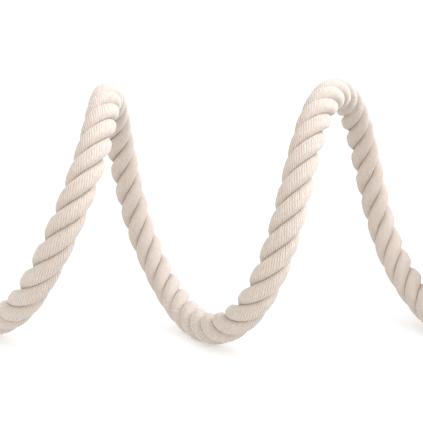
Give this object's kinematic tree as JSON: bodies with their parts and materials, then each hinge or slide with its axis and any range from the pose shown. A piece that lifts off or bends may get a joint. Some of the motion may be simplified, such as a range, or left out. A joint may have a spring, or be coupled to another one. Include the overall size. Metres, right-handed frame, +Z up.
{
  "type": "dock line",
  "caption": "Three-strand natural cotton dock line: an open standing corkscrew that runs into a neat round coil, tied with small cord, with a whipped end and an eye splice.",
  "frame": {"origin": "middle of the whole line's footprint on the floor", "axes": "+X from the bitter end towards the stored coil, along the corkscrew; +Z up from the floor; +Y behind the corkscrew"},
  "size_m": [0.4926, 0.2107, 0.1378],
  "materials": {
    "rope_cotton": "undyed cotton, soft and matt, three strands of spun yarn",
    "waxed_twine": "waxed twine, slightly glossy",
    "tie_cord": "small cotton cord, matt"
  },
  "bodies": {
    "root": {"rope_run": "rope_cotton", "rope_coil": "rope_cotton", "rope_top": "rope_cotton", "eye_splice": "rope_cotton", "eye_loop": "rope_cotton", "strand_end_1": "rope_cotton", "strand_end_2": "rope_cotton", "strand_end_3": "rope_cotton", "end_whipping": "waxed_twine", "taper_whipping": "waxed_twine", "throat_seizing": "waxed_twine", "coil_tie_1": "tie_cord", "coil_tie_2": "tie_cord", "coil_tie_3": "tie_cord", "tie_knot_1": "tie_cord", "tie_knot_2": "tie_cord", "tie_knot_3": "tie_cord"}
  },
  "joints": []
}
